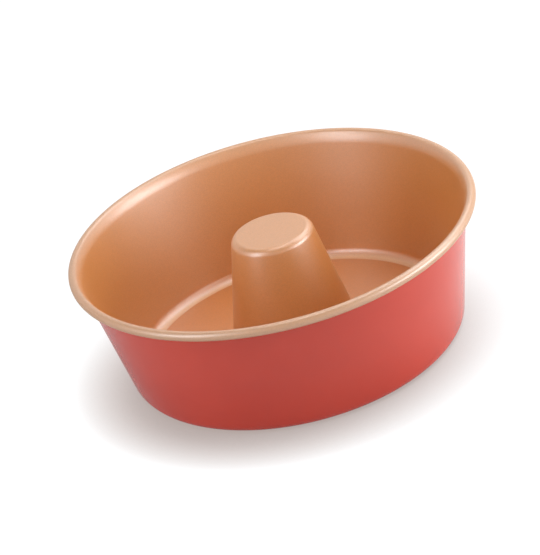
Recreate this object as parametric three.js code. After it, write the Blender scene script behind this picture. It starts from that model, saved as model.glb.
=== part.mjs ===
import * as THREE from 'three';

// A tube pan: a drawn sheet body with a curled rim, and a drawn tube with a closed top
// that is seamed into the middle of its floor. Both wear a non-stick lining on the food side.
// Millimetres, +Z up. The origin is on the table, under the middle of the pan.

// Whole pan
const RIM_DIAMETER = 240;
const HEIGHT = 78.5;
const WALL_DRAFT = 11.4;

// Sheet and lining
const SHEET = 0.8;
const LINING = 0.2;
const LINING_TO_SHEET = 0.02;

// Rim curl, and the flare of the wall under it
const BEAD_DIAMETER = 5.5;
const BEAD_TURN = 235;
const BEAD_TO_WALL = 1.2;
const FLARE_BEND = 17;

// Corner and standing ring
const CORNER_BEND = 5.6;
const FOOT_WIDTH = 1.9;
const STEP_BEND = 0.6;
const STEP_SLOPE = 65;

// Centre tube
const TUBE_HEIGHT = 74.4;
const TUBE_FOOT_DIAMETER = 78.2;
const TUBE_DRAFT = 11.7;
const TUBE_TOP_BEND = 4.8;

// Seam between the tube and the floor
const COLLAR_BEND = 3;
const COLLAR_HEIGHT = 2;
const FLANGE_WIDTH = 4;
const SEAM_GAP = 0.1;
const FLANGE_TO_TABLE = 0.4;

// Facets
const TURN_FACETS = 48;
const TIGHT_BEND_FACETS = 2;
const BEND_FACETS = 3;
const CURL_FACETS = 4;

// Sizes that follow
const SHEET_DEPTH = LINING + LINING_TO_SHEET;
const WALL = SHEET_DEPTH + SHEET;
const FOOT_HEIGHT = FLANGE_TO_TABLE + WALL + SEAM_GAP;
const FLOOR_TOP = FOOT_HEIGHT + WALL;
const DRAFT = THREE.MathUtils.degToRad(WALL_DRAFT);
const TUBE_LEAN = THREE.MathUtils.degToRad(TUBE_DRAFT);
const QUARTER = Math.PI / 2;
const HALF = Math.PI;

// A station is a point of a food-side outline, in radius and height, with the direction
// that runs from there through the sheet to its back.
const station = (r, z, backR, backZ) => ({ r, z, backR, backZ });

// Round stretch of an outline. In a hollow bend the back of the sheet lies away from the centre,
// and over a crest it lies towards the centre.
function bend(centre, radius, from, to, facets, backSide) {
  const stations = [];
  for (let i = 0; i <= facets; i += 1) {
    const angle = from + (to - from) * i / facets;
    const r = Math.cos(angle);
    const z = Math.sin(angle);
    stations.push(station(centre.r + radius * r, centre.z + radius * z, backSide * r, backSide * z));
  }
  return stations;
}

const hollow = (centre, radius, from, to, facets) => bend(centre, radius, from, to, facets, 1);
const crest = (centre, radius, from, to, facets) => bend(centre, radius, from, to, facets, -1);

// The bend where the floor's collar and the tube's flange nest: both turn about this centre.
const tubeFootRadius = TUBE_FOOT_DIAMETER / 2;
const seamReach = SEAM_GAP + WALL + COLLAR_BEND;
const seamHeight = FLOOR_TOP + COLLAR_BEND;
const seamCentre = {
  r: tubeFootRadius - seamHeight * Math.tan(TUBE_LEAN) + seamReach / Math.cos(TUBE_LEAN),
  z: seamHeight,
};
const seamFrom = HALF + TUBE_LEAN;
const seamTo = HALF + QUARTER;

// Food side of the body, from the collar's edge over the floor and up the wall to the curl's tip.
function bodyOutline() {
  const collar = hollow(seamCentre, COLLAR_BEND, seamFrom, seamTo, BEND_FACETS);
  const collarEdge = station(
    collar[0].r - COLLAR_HEIGHT * Math.sin(TUBE_LEAN),
    collar[0].z + COLLAR_HEIGHT * Math.cos(TUBE_LEAN),
    collar[0].backR,
    collar[0].backZ,
  );

  const beadRadius = BEAD_DIAMETER / 2;
  const bead = { r: RIM_DIAMETER / 2 - beadRadius, z: HEIGHT - beadRadius };
  const curlStops = [QUARTER, 0, QUARTER - THREE.MathUtils.degToRad(BEAD_TURN)];
  const curl = curlStops.slice(1).flatMap((stop, i) => (
    crest(bead, beadRadius, curlStops[i], stop, CURL_FACETS).slice(1)
  ));

  // Under the rim the wall curves outwards, from its own slope into the bead.
  const wallToBead = BEAD_TO_WALL + beadRadius;
  const flareOut = FLARE_BEND - wallToBead;
  const flareDown = Math.sqrt((FLARE_BEND - beadRadius) ** 2 - flareOut ** 2);
  const flareLean = DRAFT + Math.atan2(flareDown, flareOut);
  const flareCentre = {
    r: bead.r + flareOut * Math.cos(DRAFT) - flareDown * Math.sin(DRAFT),
    z: bead.z - flareOut * Math.sin(DRAFT) - flareDown * Math.cos(DRAFT),
  };
  const flare = crest(flareCentre, FLARE_BEND, HALF - DRAFT, HALF - flareLean, BEND_FACETS);
  const overTop = crest(bead, beadRadius, HALF - flareLean, QUARTER, BEND_FACETS).slice(1);

  const wallAtTable = bead.r + (WALL - wallToBead) / Math.cos(DRAFT) - bead.z * Math.tan(DRAFT);
  const cornerBack = CORNER_BEND + WALL;
  const cornerCentre = {
    r: wallAtTable + cornerBack * Math.tan(DRAFT) - cornerBack / Math.cos(DRAFT),
    z: cornerBack,
  };
  const corner = hollow(cornerCentre, CORNER_BEND, seamTo, 2 * HALF - DRAFT, BEND_FACETS);

  const stepCrest = STEP_BEND + WALL;
  const stepBends = STEP_BEND + stepCrest;
  const gentleSlope = Math.acos(Math.max(0, 1 - FOOT_HEIGHT / stepBends));
  const slope = Math.min(THREE.MathUtils.degToRad(STEP_SLOPE), gentleSlope);
  const ramp = (FOOT_HEIGHT - stepBends * (1 - Math.cos(slope))) / Math.sin(slope);
  const stepRun = stepBends * Math.sin(slope) + ramp * Math.cos(slope);
  const stepFoot = { r: cornerCentre.r - FOOT_WIDTH, z: WALL + STEP_BEND };
  const stepHead = { r: stepFoot.r - stepRun, z: FLOOR_TOP - stepCrest };
  const stepDown = crest(stepHead, stepCrest, QUARTER, QUARTER - slope, TIGHT_BEND_FACETS);
  const stepOut = hollow(stepFoot, STEP_BEND, seamTo - slope, seamTo, TIGHT_BEND_FACETS);
  const step = slope < gentleSlope ? [...stepDown, ...stepOut] : [...stepDown, ...stepOut.slice(1)];

  return [collarEdge, ...collar, ...step, ...corner, ...flare, ...overTop, ...curl];
}

// Food side of the tube, from the middle of its top down its cone to the flange under the floor.
function tubeOutline() {
  const topHeight = TUBE_HEIGHT - TUBE_TOP_BEND;
  const topCentre = {
    r: tubeFootRadius - topHeight * Math.tan(TUBE_LEAN) - TUBE_TOP_BEND / Math.cos(TUBE_LEAN),
    z: topHeight,
  };
  const cap = station(0, TUBE_HEIGHT, 0, -1);
  const topEdge = crest(topCentre, TUBE_TOP_BEND, QUARTER, TUBE_LEAN, BEND_FACETS);
  const flangeBend = hollow(seamCentre, COLLAR_BEND + WALL + SEAM_GAP, seamFrom, seamTo, BEND_FACETS);
  const flangeRoot = flangeBend[flangeBend.length - 1];
  const flangeEdge = station(flangeRoot.r + FLANGE_WIDTH, flangeRoot.z, 0, -1);
  return {
    lined: [cap, ...topEdge, flangeBend[0]],
    whole: [cap, ...topEdge, ...flangeBend, flangeEdge],
  };
}

// One layer of the sheet, between two depths below the food side, turned about the pan's axis.
function layer(outline, frontDepth, backDepth) {
  const at = (depth) => (s) => new THREE.Vector2(s.r + depth * s.backR, s.z + depth * s.backZ);
  const profile = [...outline.map(at(backDepth)), ...outline.map(at(frontDepth)).reverse()];
  const meetsAxis = outline[0].r === 0;
  if (!meetsAxis) {
    profile.push(profile[0].clone());
  }
  const geometry = new THREE.LatheGeometry(profile, TURN_FACETS);
  geometry.rotateX(QUARTER);
  return geometry;
}

function piece(name, geometry, material) {
  const mesh = new THREE.Mesh(geometry, material);
  mesh.name = name;
  return mesh;
}

const redLacquer = () => new THREE.MeshStandardMaterial({ color: 0xb9453b, roughness: 0.42, metalness: 0.1 });
const copperLining = () => new THREE.MeshStandardMaterial({ color: 0xc4794a, roughness: 0.45, metalness: 0.35 });

const body = bodyOutline();
const tube = tubeOutline();

const pan = new THREE.Group();
pan.add(piece('pan_body', layer(body, SHEET_DEPTH, WALL), redLacquer()));
pan.add(piece('body_lining', layer(body, 0, LINING), copperLining()));
pan.add(piece('center_tube', layer(tube.whole, SHEET_DEPTH, WALL), redLacquer()));
pan.add(piece('tube_lining', layer(tube.lined, 0, LINING), copperLining()));

export default pan;
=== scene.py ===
import math

import bmesh
import bpy
from mathutils import Matrix, Vector


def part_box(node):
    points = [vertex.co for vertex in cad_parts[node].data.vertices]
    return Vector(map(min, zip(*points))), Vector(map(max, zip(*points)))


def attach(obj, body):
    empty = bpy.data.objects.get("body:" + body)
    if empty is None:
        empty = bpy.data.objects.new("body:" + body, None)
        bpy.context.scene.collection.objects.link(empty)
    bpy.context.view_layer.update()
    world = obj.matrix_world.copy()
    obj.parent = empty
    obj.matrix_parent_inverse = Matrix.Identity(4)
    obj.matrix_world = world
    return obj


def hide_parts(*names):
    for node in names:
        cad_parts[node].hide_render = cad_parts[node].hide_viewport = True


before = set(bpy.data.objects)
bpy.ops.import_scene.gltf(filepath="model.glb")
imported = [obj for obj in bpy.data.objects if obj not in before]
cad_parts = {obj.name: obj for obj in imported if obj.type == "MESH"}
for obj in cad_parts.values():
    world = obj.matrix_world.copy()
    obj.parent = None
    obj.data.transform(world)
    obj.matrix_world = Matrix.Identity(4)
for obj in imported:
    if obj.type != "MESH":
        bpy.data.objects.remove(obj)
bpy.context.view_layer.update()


# Pan body
# The body is one drawn aluminium sheet, lacquered satin red on the outside.
# It carries the wall, the standing ring, the raised floor and the open curl of the rim,
# and its floor is turned up into a collar that grips the tube.
rim_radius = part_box("body_lining")[1].x
rim_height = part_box("body_lining")[1].z
sheet_depth = rim_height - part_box("pan_body")[1].z
sheet = 0.0008
wall = sheet_depth + sheet
wall_draft = math.radians(11.4)
bead_radius = 0.00275
bead_turn = math.radians(235)
bead_to_wall = 0.0012
flare_bend = 0.017
corner_bend = 0.0056
foot_width = 0.0019
step_bend = 0.0006
step_slope = math.radians(65)
collar_bend = 0.003
collar_height = 0.002
seam_gap = 0.0001
tube_flange_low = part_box("center_tube")[0].z
foot_height = tube_flange_low + wall + seam_gap
floor_top = foot_height + wall
tube_foot_radius = 0.0391
tube_draft = math.radians(11.7)

# The outline's bends turn about these centres. The collar and the tube's foot share the seam's.
seam_reach = (seam_gap + wall + collar_bend) / math.cos(tube_draft)
seam_height = floor_top + collar_bend
seam_centre = Vector((tube_foot_radius - seam_height * math.tan(tube_draft) + seam_reach, 0, seam_height))
seam_start = math.pi + tube_draft
seam_arm = Vector((math.cos(seam_start), 0, math.sin(seam_start)))
collar_way = Vector((-math.sin(tube_draft), 0, math.cos(tube_draft)))
bead = Vector((rim_radius - bead_radius, 0, rim_height - bead_radius))
wall_to_bead = bead_to_wall + bead_radius
flare_out = flare_bend - wall_to_bead
flare_down = math.sqrt((flare_bend - bead_radius) ** 2 - flare_out**2)
flare_lean = wall_draft + math.atan2(flare_down, flare_out)
across_wall = Vector((math.cos(wall_draft), 0, -math.sin(wall_draft)))
up_wall = Vector((math.sin(wall_draft), 0, math.cos(wall_draft)))
flare = bead + across_wall * flare_out - up_wall * flare_down
wall_at_table = bead.x + (wall - wall_to_bead) / math.cos(wall_draft) - bead.z * math.tan(wall_draft)
corner_back = corner_bend + wall
corner_inset = corner_back / math.cos(wall_draft) - corner_back * math.tan(wall_draft)
corner = Vector((wall_at_table - corner_inset, 0, corner_back))
step_crest = step_bend + wall
step_bends = step_bend + step_crest
ramp = (foot_height - step_bends * (1 - math.cos(step_slope))) / math.sin(step_slope)
step_run = step_bends * math.sin(step_slope) + ramp * math.cos(step_slope)
step_foot = Vector((corner.x - foot_width, 0, wall + step_bend))
step_head = Vector((step_foot.x - step_run, 0, floor_top - step_crest))

upward = math.pi / 2
downward = 3 * math.pi / 2
collar_facets = 10
step_facets = 8
corner_facets = 14
flare_facets = 12
bead_facets = 36
longest_facet = 0.004
wedges_round = 16
facets_in_wedge = 16
merge_reach = 1e-6
sharp_edge = math.radians(40)


def run_to(path, tip, place):
    """Carries the outline straight on to a place, and starts it there if it is new."""
    if tip is None:
        return path.verts.new(place)
    longer = bmesh.ops.extrude_vert_indiv(path, verts=[tip])["verts"][0]
    longer.co = place
    return longer


def bend_about(path, tip, centre, radius, start, end, facets):
    """Carries the outline straight on to a bend, then round the bend."""
    arm = Vector((math.cos(start), 0, math.sin(start))) * radius
    tip = run_to(path, tip, centre + arm)
    turned = bmesh.ops.spin(
        path, geom=[tip], cent=centre, axis=(0, 1, 0), angle=start - end, steps=facets
    )
    return next(part for part in turned["geom_last"] if isinstance(part, bmesh.types.BMVert))


def draw_body(path, depth, tip=None):
    """Draws the body's outline at a depth below the food side, from the collar's edge to the curl's tip."""
    wall_side = math.pi - wall_draft
    curl_side = math.pi - flare_lean
    collar_edge = seam_centre + seam_arm * (collar_bend + depth) + collar_way * collar_height
    first = run_to(path, tip, collar_edge)
    tip = bend_about(path, first, seam_centre, collar_bend + depth, seam_start, downward, collar_facets)
    tip = bend_about(path, tip, step_head, step_crest - depth, upward, upward - step_slope, step_facets)
    tip = bend_about(path, tip, step_foot, step_bend + depth, downward - step_slope, downward, step_facets)
    tip = bend_about(path, tip, corner, corner_bend + depth, downward, math.pi + wall_side, corner_facets)
    tip = bend_about(path, tip, flare, flare_bend - depth, wall_side, curl_side, flare_facets)
    tip = bend_about(path, tip, bead, bead_radius - depth, curl_side, upward - bead_turn, bead_facets)
    return first, tip


def turn_layer(name, draw, front, back, meets_axis=False):
    """Makes one layer of sheet between two depths below the food side, turned about the pan's axis."""
    path = bmesh.new()
    front_first, front_last = draw(path, front)
    back_first, back_last = draw(path, back)
    path.edges.new((front_last, back_last))
    if not meets_axis:
        path.edges.new((front_first, back_first))
    bmesh.ops.remove_doubles(path, verts=path.verts, dist=merge_reach)
    for edge in path.edges[:]:
        cuts = int(edge.calc_length() / longest_facet)
        if cuts:
            bmesh.ops.subdivide_edges(path, edges=[edge], cuts=cuts)
    wedge = 2 * math.pi / wedges_round
    outline = path.verts[:] + path.edges[:]
    bmesh.ops.spin(path, geom=outline, cent=(0, 0, 0), axis=(0, 0, 1), angle=wedge, steps=facets_in_wedge)
    bmesh.ops.spin(
        path,
        geom=path.verts[:] + path.edges[:] + path.faces[:],
        cent=(0, 0, 0),
        axis=(0, 0, 1),
        angle=2 * math.pi - wedge,
        steps=wedges_round - 1,
        use_duplicate=True,
    )
    bmesh.ops.remove_doubles(path, verts=path.verts, dist=merge_reach)
    bmesh.ops.recalc_face_normals(path, faces=path.faces)
    for face in path.faces:
        face.smooth = True
    for edge in path.edges:
        edge.smooth = edge.calc_face_angle(0) < sharp_edge
    mesh = bpy.data.meshes.new(name)
    path.to_mesh(mesh)
    path.free()
    layer = bpy.data.objects.new(name, mesh)
    bpy.context.scene.collection.objects.link(layer)
    return layer


def add_node(tree, kind, **settings):
    """Adds a shader node and sets the inputs that are named."""
    made = tree.nodes.new(kind)
    for key, value in settings.items():
        made.inputs[key.replace("_", " ")].default_value = value
    return made


# Sprayed coats share one skin: a faint orange-peel relief, and soft cloudiness of the coat.
sprayed_skin = bpy.data.node_groups.new("sprayed_skin", "ShaderNodeTree")
sprayed_skin.interface.new_socket("Place", in_out="INPUT", socket_type="NodeSocketVector")
sprayed_skin.interface.new_socket("Peel Scale", in_out="INPUT", socket_type="NodeSocketFloat")
sprayed_skin.interface.new_socket("Cloud Scale", in_out="INPUT", socket_type="NodeSocketFloat")
sprayed_skin.interface.new_socket("Peel", in_out="OUTPUT", socket_type="NodeSocketFloat")
sprayed_skin.interface.new_socket("Cloud", in_out="OUTPUT", socket_type="NodeSocketFloat")
skin_in = sprayed_skin.nodes.new("NodeGroupInput")
skin_out = sprayed_skin.nodes.new("NodeGroupOutput")
peel_noise = add_node(sprayed_skin, "ShaderNodeTexNoise", Detail=2.0, Roughness=0.5)
cloud_noise = add_node(sprayed_skin, "ShaderNodeTexNoise", Detail=3.0, Roughness=0.55)
cloud_low = 0.3
cloud_high = 0.7
sprayed_skin.links.new(skin_in.outputs["Place"], peel_noise.inputs["Vector"])
sprayed_skin.links.new(skin_in.outputs["Peel Scale"], peel_noise.inputs["Scale"])
sprayed_skin.links.new(skin_in.outputs["Place"], cloud_noise.inputs["Vector"])
sprayed_skin.links.new(skin_in.outputs["Cloud Scale"], cloud_noise.inputs["Scale"])
sprayed_skin.links.new(peel_noise.outputs["Fac"], skin_out.inputs["Peel"])
sprayed_skin.links.new(cloud_noise.outputs["Fac"], skin_out.inputs["Cloud"])


def start_coat(name, peel_scale, cloud_scale):
    """Starts a sprayed coat's material, with its skin placed on the piece."""
    coat = bpy.data.materials.new(name)
    coat.use_nodes = True
    tree = coat.node_tree
    place = tree.nodes.new("ShaderNodeTexCoord")
    skin = tree.nodes.new("ShaderNodeGroup")
    skin.node_tree = sprayed_skin
    skin.inputs["Peel Scale"].default_value = peel_scale
    skin.inputs["Cloud Scale"].default_value = cloud_scale
    tree.links.new(place.outputs["Object"], skin.inputs["Place"])
    return coat, tree, place.outputs["Object"], skin.outputs


def span(tree, source, low, high, at_low, at_high):
    """Maps a value that varies over the surface to a range."""
    mapped = add_node(
        tree, "ShaderNodeMapRange", From_Min=low, From_Max=high, To_Min=at_low, To_Max=at_high
    )
    tree.links.new(source, mapped.inputs["Value"])
    return mapped.outputs["Result"]


def blend_colours(tree, amount, first, second):
    """Mixes two colours by a mask. The first is a plain colour, or one that varies over the surface."""
    mix = tree.nodes.new("ShaderNodeMix")
    mix.data_type = "RGBA"
    tree.links.new(amount, mix.inputs["Factor"])
    if isinstance(first, bpy.types.NodeSocket):
        tree.links.new(first, mix.inputs["A"])
    else:
        mix.inputs["A"].default_value = first
    mix.inputs["B"].default_value = second
    return mix.outputs["Result"]


dark_red = (0.61, 0.05, 0.026, 1)
bright_red = (0.65, 0.056, 0.029, 1)
red_smoothest = 0.18
red_roughest = 0.22
red_lacquer, red_tree, _, red_skin = start_coat("red_lacquer", peel_scale=900.0, cloud_scale=18.0)
red_shader = red_tree.nodes["Principled BSDF"]
red_cloud = span(red_tree, red_skin["Cloud"], cloud_low, cloud_high, 0.0, 1.0)
red_colour = blend_colours(red_tree, red_cloud, dark_red, bright_red)
red_tree.links.new(red_colour, red_shader.inputs["Base Color"])
red_roughness = span(red_tree, red_skin["Cloud"], cloud_low, cloud_high, red_smoothest, red_roughest)
red_tree.links.new(red_roughness, red_shader.inputs["Roughness"])
red_bump = add_node(red_tree, "ShaderNodeBump", Strength=0.12, Distance=0.00015)
red_tree.links.new(red_skin["Peel"], red_bump.inputs["Height"])
red_tree.links.new(red_bump.outputs["Normal"], red_shader.inputs["Normal"])

pan_body = turn_layer("body_sheet", draw_body, sheet_depth, wall)
pan_body.data.materials.append(red_lacquer)
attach(pan_body, "root")
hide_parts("pan_body")


# Body lining
# The food side wears a copper-coloured non-stick coat with a fine metal fleck, sprayed on the sheet.
# It is a deeper orange on the floor. Over the rim's curl it shines less, and a paler colour there is a
# painted sheen; round the step at the floor's edge a much paler colour is a painted highlight.
# It covers the collar's cut edge, so no red shows round the tube.
lining = 0.0002


def draw_body_coat(path, depth):
    """Draws the coat's outline, from the collar's back over its cut edge and on with the body."""
    over_edge = collar_way * (collar_height + sheet_depth - depth)
    first = run_to(path, None, seam_centre + seam_arm * (collar_bend + wall) + over_edge)
    edge = run_to(path, first, seam_centre + seam_arm * (collar_bend + depth) + over_edge)
    tip = draw_body(path, depth, edge)[1]
    return first, tip


def combine(tree, operation, first, second):
    """Combines two values that vary over the surface."""
    combined = tree.nodes.new("ShaderNodeMath")
    combined.operation = operation
    tree.links.new(first, combined.inputs[0])
    tree.links.new(second, combined.inputs[1])
    return combined.outputs[0]


copper_lining, copper_tree, copper_place, copper_skin = start_coat(
    "copper_lining", peel_scale=1100.0, cloud_scale=14.0
)
copper_shader = copper_tree.nodes["Principled BSDF"]

# These masks pick out the floor, the rim's curl and the step, by height and by distance from the pan's axis;
# the curl's and the step's colours are a painted sheen and a painted highlight.
copper_axes = copper_tree.nodes.new("ShaderNodeSeparateXYZ")
copper_tree.links.new(copper_place, copper_axes.inputs["Vector"])
on_floor = span(copper_tree, copper_axes.outputs["Z"], floor_top, floor_top + corner_bend, 1.0, 0.0)
across = copper_tree.nodes.new("ShaderNodeVectorMath")
across.operation = "MULTIPLY"
across.inputs[1].default_value = (1, 1, 0)
copper_tree.links.new(copper_place, across.inputs[0])
reach = copper_tree.nodes.new("ShaderNodeVectorMath")
reach.operation = "LENGTH"
copper_tree.links.new(across.outputs["Vector"], reach.inputs[0])
from_axis = reach.outputs["Value"]
curl_start = rim_radius - 2 * bead_radius - bead_to_wall
curl_crest = rim_radius - bead_radius
on_curl = span(copper_tree, from_axis, curl_start, curl_crest, 0.0, 1.0)
# The band round the floor's step is where the copper is painted much paler: a painted highlight.
highlight_past_corner = 0.0015
highlight_fade = 0.003
highlight_end = corner.x + highlight_past_corner
past_floor = span(copper_tree, from_axis, step_head.x, step_foot.x, 0.0, 1.0)
below_wall = span(copper_tree, from_axis, highlight_end, highlight_end + highlight_fade, 1.0, 0.0)
painted_highlight_band = combine(copper_tree, "MINIMUM", past_floor, below_wall)

dark_copper = (0.585, 0.205, 0.028, 1)
bright_copper = (0.62, 0.22, 0.032, 1)
floor_copper = (0.645, 0.19, 0.003, 1)
# Paler copper over the curl is a painted sheen.
curl_painted_sheen = (0.575, 0.264, 0.106, 1)
step_painted_highlight = (0.87, 0.51, 0.27, 1)
copper_cloud = span(copper_tree, copper_skin["Cloud"], cloud_low, cloud_high, 0.0, 1.0)
copper_colour = blend_colours(copper_tree, copper_cloud, dark_copper, bright_copper)
copper_colour = blend_colours(copper_tree, on_floor, copper_colour, floor_copper)
# Over the rim's curl the copper is painted paler: a painted sheen.
copper_colour = blend_colours(copper_tree, on_curl, copper_colour, curl_painted_sheen)
# Round the step the copper is painted much paler: a painted highlight.
copper_colour = blend_colours(copper_tree, painted_highlight_band, copper_colour, step_painted_highlight)

fleck_tone = 0.08
fleck_gloss = 0.08
fleck_metal = 0.12
copper_smoothest = 0.42
copper_roughest = 0.46
fleck_cells = add_node(copper_tree, "ShaderNodeTexVoronoi", Scale=2600.0)
copper_tree.links.new(copper_place, fleck_cells.inputs["Vector"])
fleck_split = copper_tree.nodes.new("ShaderNodeSeparateColor")
copper_tree.links.new(fleck_cells.outputs["Color"], fleck_split.inputs["Color"])
tone = span(copper_tree, fleck_split.outputs["Red"], 0.0, 1.0, 1 - fleck_tone, 1 + fleck_tone)
flecked_colour = copper_tree.nodes.new("ShaderNodeVectorMath")
flecked_colour.operation = "SCALE"
copper_tree.links.new(copper_colour, flecked_colour.inputs["Vector"])
copper_tree.links.new(tone, flecked_colour.inputs["Scale"])
copper_tree.links.new(flecked_colour.outputs["Vector"], copper_shader.inputs["Base Color"])
metal = span(copper_tree, fleck_split.outputs["Green"], 0.0, 1.0, 0.0, fleck_metal)
copper_tree.links.new(metal, copper_shader.inputs["Metallic"])
roughness = span(copper_tree, copper_skin["Cloud"], cloud_low, cloud_high, copper_smoothest, copper_roughest)
gloss = span(copper_tree, fleck_split.outputs["Blue"], 0.0, 1.0, -fleck_gloss, fleck_gloss)
flecked_roughness = combine(copper_tree, "ADD", roughness, gloss)
copper_tree.links.new(flecked_roughness, copper_shader.inputs["Roughness"])

thick_shine = 0.8
curl_shine = 0.3
copper_shine = span(copper_tree, on_curl, 0.0, 1.0, thick_shine, curl_shine)
copper_tree.links.new(copper_shine, copper_shader.inputs["Coat Weight"])
copper_shader.inputs["Coat Roughness"].default_value = 0.32
copper_shader.inputs["IOR"].default_value = 1.9
copper_shader.inputs["Specular IOR Level"].default_value = 0.9
copper_bump = add_node(copper_tree, "ShaderNodeBump", Strength=0.15, Distance=0.00012)
copper_tree.links.new(copper_skin["Peel"], copper_bump.inputs["Height"])
copper_tree.links.new(copper_bump.outputs["Normal"], copper_shader.inputs["Normal"])

body_lining = turn_layer("body_coat", draw_body_coat, 0, lining)
body_lining.data.materials.append(copper_lining)
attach(body_lining, "root")
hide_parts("body_lining")


# Centre tube
# The tube is a drawn aluminium cone with a closed flat top, red inside like the body's outside.
# Its foot is turned out into a flange under the floor, and the floor's collar is swaged onto it.
tube_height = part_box("tube_lining")[1].z
tube_top_bend = 0.0048
tube_top_facets = 16
flange_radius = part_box("center_tube")[1].x
flange_facets = 12
tube_in_seam = collar_bend + wall + seam_gap


def draw_tube_side(path, depth):
    """Draws the tube's outline from the middle of its top to where its foot starts to turn out."""
    top_centre_height = tube_height - tube_top_bend
    top_inset = top_centre_height * math.tan(tube_draft) + tube_top_bend / math.cos(tube_draft)
    top_centre = Vector((tube_foot_radius - top_inset, 0, top_centre_height))
    first = run_to(path, None, Vector((0, 0, tube_height - depth)))
    tip = bend_about(path, first, top_centre, tube_top_bend - depth, upward, tube_draft, tube_top_facets)
    return first, run_to(path, tip, seam_centre + seam_arm * (tube_in_seam + depth))


def draw_tube(path, depth):
    """Draws the whole tube's outline, with the flange under the floor."""
    first, tip = draw_tube_side(path, depth)
    tip = bend_about(path, tip, seam_centre, tube_in_seam + depth, seam_start, downward, flange_facets)
    return first, run_to(path, tip, Vector((flange_radius, 0, tip.co.z)))


center_tube = turn_layer("tube_sheet", draw_tube, sheet_depth, wall, meets_axis=True)
center_tube.data.materials.append(red_lacquer)
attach(center_tube, "root")
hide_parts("center_tube")


# Tube lining
# The outside of the tube wears the same copper-coloured non-stick as the body,
# from its flat top down behind the floor's collar.
tube_lining = turn_layer("tube_coat", draw_tube_side, 0, lining, meets_axis=True)
tube_lining.data.materials.append(copper_lining)
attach(tube_lining, "root")
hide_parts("tube_lining")


# Stage
# A plain white sweep with the pan's soft shadow, partly real and partly a painted shadow, in a pale room with
# a dimmer ceiling.
# Soft boxes stand to the right and left of the pan and hang behind and above it, most of them a little cool.
floor_half = 4.0
floor_mesh = bmesh.new()
bmesh.ops.create_grid(floor_mesh, x_segments=1, y_segments=1, size=floor_half)
floor_data = bpy.data.meshes.new("stage_floor")
floor_mesh.to_mesh(floor_data)
floor_mesh.free()
stage_floor = bpy.data.objects.new("stage_floor", floor_data)
bpy.context.scene.collection.objects.link(stage_floor)


def seen_directly(tree, mirror_share=None):
    """1 for rays from the camera, or by mirror or glass from it, and 0 for the light that falls on things."""
    path_of_light = tree.nodes.new("ShaderNodeLightPath").outputs
    mirrored = path_of_light["Is Glossy Ray"]
    if mirror_share is not None:
        mirrored = combine(tree, "MULTIPLY", mirrored, mirror_share)
    by_glass = combine(tree, "MAXIMUM", path_of_light["Is Camera Ray"], path_of_light["Is Transmission Ray"])
    return combine(tree, "MAXIMUM", by_glass, mirrored)


white = (1, 1, 1, 1)
# Warm tint of the painted shadow under the pan.
painted_shadow_tint = (1, 0.82, 0.75, 1)
floor_white = 0.82
shadow_share = 0.12
floor_glow = 0.95
# Near the pan, ambient occlusion dims the sweep's glow: a painted shadow.
contact_reach = 0.036
contact_dark = 0.3
painted_shadow_glow = 0.42
contact_tilt = Vector((0.6, 0.7, 1)).normalized()
sweep = bpy.data.materials.new("white_sweep")
sweep.use_nodes = True
sweep_tree = sweep.node_tree
sweep_tree.nodes.remove(sweep_tree.nodes["Principled BSDF"])
plain = add_node(sweep_tree, "ShaderNodeBsdfDiffuse", Color=(floor_white, floor_white, floor_white, 1))
shaded = add_node(sweep_tree, "ShaderNodeBsdfDiffuse", Color=(shadow_share, shadow_share, shadow_share, 1))
painted_contact_shadow = add_node(sweep_tree, "ShaderNodeAmbientOcclusion", Distance=contact_reach)
contact_side = add_node(
    sweep_tree, "ShaderNodeCombineXYZ", X=contact_tilt.x, Y=contact_tilt.y, Z=contact_tilt.z
)
sweep_tree.links.new(contact_side.outputs["Vector"], painted_contact_shadow.inputs["Normal"])
glow = sweep_tree.nodes.new("ShaderNodeEmission")
# The glow turns warm and dim where the pan is near, a painted shadow.
glow_colour = blend_colours(sweep_tree, painted_contact_shadow.outputs["AO"], painted_shadow_tint, white)
sweep_tree.links.new(glow_colour, glow.inputs["Color"])
glow_strength = span(sweep_tree, painted_contact_shadow.outputs["AO"], contact_dark, 1.0, painted_shadow_glow, floor_glow)
sweep_tree.links.new(glow_strength, glow.inputs["Strength"])
lit = sweep_tree.nodes.new("ShaderNodeAddShader")
sweep_tree.links.new(shaded.outputs[0], lit.inputs[0])
sweep_tree.links.new(glow.outputs[0], lit.inputs[1])
# In mirrors the sweep glows only towards the pan's right; to the left they see the plain floor, a painted
# shade in the reflection.
sweep_place = sweep_tree.nodes.new("ShaderNodeTexCoord")
sweep_side = sweep_tree.nodes.new("ShaderNodeSeparateXYZ")
sweep_tree.links.new(sweep_place.outputs["Object"], sweep_side.inputs["Vector"])
painted_reflection_side = span(sweep_tree, sweep_side.outputs["X"], -rim_radius, rim_radius, 0.0, 1.0)
choose = sweep_tree.nodes.new("ShaderNodeMixShader")
sweep_tree.links.new(seen_directly(sweep_tree, painted_reflection_side), choose.inputs["Fac"])
sweep_tree.links.new(plain.outputs[0], choose.inputs[1])
sweep_tree.links.new(lit.outputs[0], choose.inputs[2])
sweep_tree.links.new(choose.outputs[0], sweep_tree.nodes["Material Output"].inputs["Surface"])
floor_data.materials.append(sweep)

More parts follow.
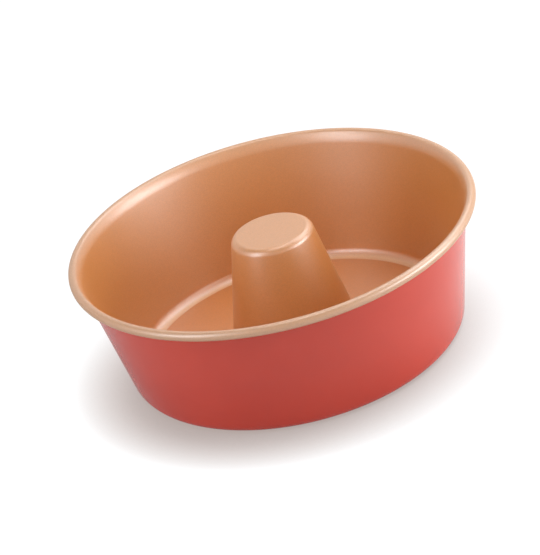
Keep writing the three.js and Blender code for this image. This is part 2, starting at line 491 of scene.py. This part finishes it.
room_light = 0.22
wall_top = math.sin(math.radians(30))
ceiling = math.sin(math.radians(60))
ceiling_white = 0.3
world = bpy.data.worlds.new("pale_room")
bpy.context.scene.world = world
world.use_nodes = True
room = world.node_tree
room_shader = room.nodes["Background"]
room_shader.inputs["Color"].default_value = white
room_place = room.nodes.new("ShaderNodeTexCoord")
room_height = room.nodes.new("ShaderNodeSeparateXYZ")
room.links.new(room_place.outputs["Generated"], room_height.inputs["Vector"])
room_white = span(room, room_height.outputs["Z"], wall_top, ceiling, 1.0, ceiling_white)
room_strength = room.nodes.new("ShaderNodeMix")
room.links.new(seen_directly(room), room_strength.inputs["Factor"])
room_strength.inputs["A"].default_value = room_light
room.links.new(room_white, room_strength.inputs["B"])
room.links.new(room_strength.outputs["Result"], room_shader.inputs["Strength"])


def soft_box(name, colour, azimuth, elevation, distance, width, height, power):
    """Hangs one soft box in the studio, at a bearing from the pan's middle, and turns it to the pan."""
    lamp = bpy.data.lights.new(name, "AREA")
    lamp.shape = "RECTANGLE"
    lamp.color = colour
    lamp.size = width
    lamp.size_y = height
    lamp.energy = power
    around = math.radians(azimuth)
    above = math.radians(elevation)
    level = Vector((math.cos(around), math.sin(around), 0)) * math.cos(above)
    bearing = level + Vector((0, 0, math.sin(above)))
    box = bpy.data.objects.new(name, lamp)
    box.location = Vector((0, 0, rim_height / 2)) + bearing * distance
    box.rotation_euler = (-bearing).to_track_quat("-Z", "Y").to_euler()
    bpy.context.scene.collection.objects.link(box)


neutral = (1.0, 1.0, 1.0)
cool = (0.85, 0.94, 1.0)
soft_box("right_box", cool, azimuth=-17, elevation=17, distance=0.8, width=0.65, height=0.36, power=4.5)
soft_box("left_box", cool, azimuth=-149, elevation=30, distance=1.2, width=0.4, height=1.0, power=6.6)
soft_box("back_box", cool, azimuth=36, elevation=50, distance=0.7, width=0.6, height=0.36, power=2.2)
soft_box("rear_box", neutral, azimuth=105, elevation=52, distance=1.2, width=0.4, height=0.3, power=0.8)
soft_box("top_box", neutral, azimuth=0, elevation=86, distance=1.2, width=0.5, height=0.5, power=2.8)


# Camera
# A long lens from the front, looking down into the pan.
# The camera is rolled, so the level pan leans in the picture as it does in the photograph.
camera_data = bpy.data.cameras.new("camera")
camera_data.sensor_width = 36.0
camera_data.lens = 177.49
camera = bpy.data.objects.new("camera", camera_data)
camera.location = (0, -1.40828, 0.78258)
camera_aim = Vector((-0.007306, 0, 0.04494))
camera_roll = math.radians(14.43)
looking = (camera_aim - camera.location).to_track_quat("-Z", "Y").to_matrix()
camera.rotation_euler = (looking @ Matrix.Rotation(-camera_roll, 3, "Z")).to_euler()
bpy.context.scene.collection.objects.link(camera)
bpy.context.scene.camera = camera
bpy.context.scene.view_settings.view_transform = "Standard"
